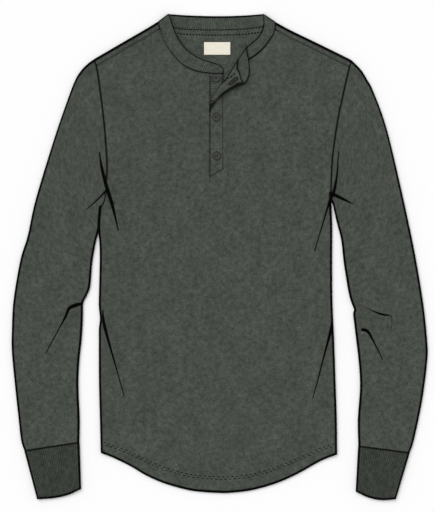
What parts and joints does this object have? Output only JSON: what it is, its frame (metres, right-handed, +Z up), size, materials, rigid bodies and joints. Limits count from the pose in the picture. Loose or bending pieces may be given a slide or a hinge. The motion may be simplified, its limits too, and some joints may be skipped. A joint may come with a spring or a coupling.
{
  "type": "henley shirt",
  "caption": "Long-sleeve henley shirt laid flat, with ribbed neckband and cuffs, open top placket and curved hem.",
  "frame": {"origin": "the middle of the laid-out shirt's outline, on the surface it lies on", "axes": "+X to the wearer's left, +Y from the hem to the neck, +Z up out of the front"},
  "size_m": [0.6638, 0.7773, 0.0097],
  "materials": {
    "body_knit": "matte heather jersey knit, charcoal green",
    "rib_knit": "matte rib knit, darker charcoal green",
    "button": "satin four-hole button",
    "label": "plain woven cream label, blank"
  },
  "bodies": {
    "root": {"back_panel": "body_knit", "front_panel": "body_knit", "right_sleeve": "body_knit", "left_sleeve": "body_knit", "right_cuff": "rib_knit", "left_cuff": "rib_knit", "neckband": "rib_knit", "placket_under": "body_knit", "placket_over": "body_knit", "button_1": "button", "button_2": "button", "button_3": "button", "label": "label"}
  },
  "joints": []
}
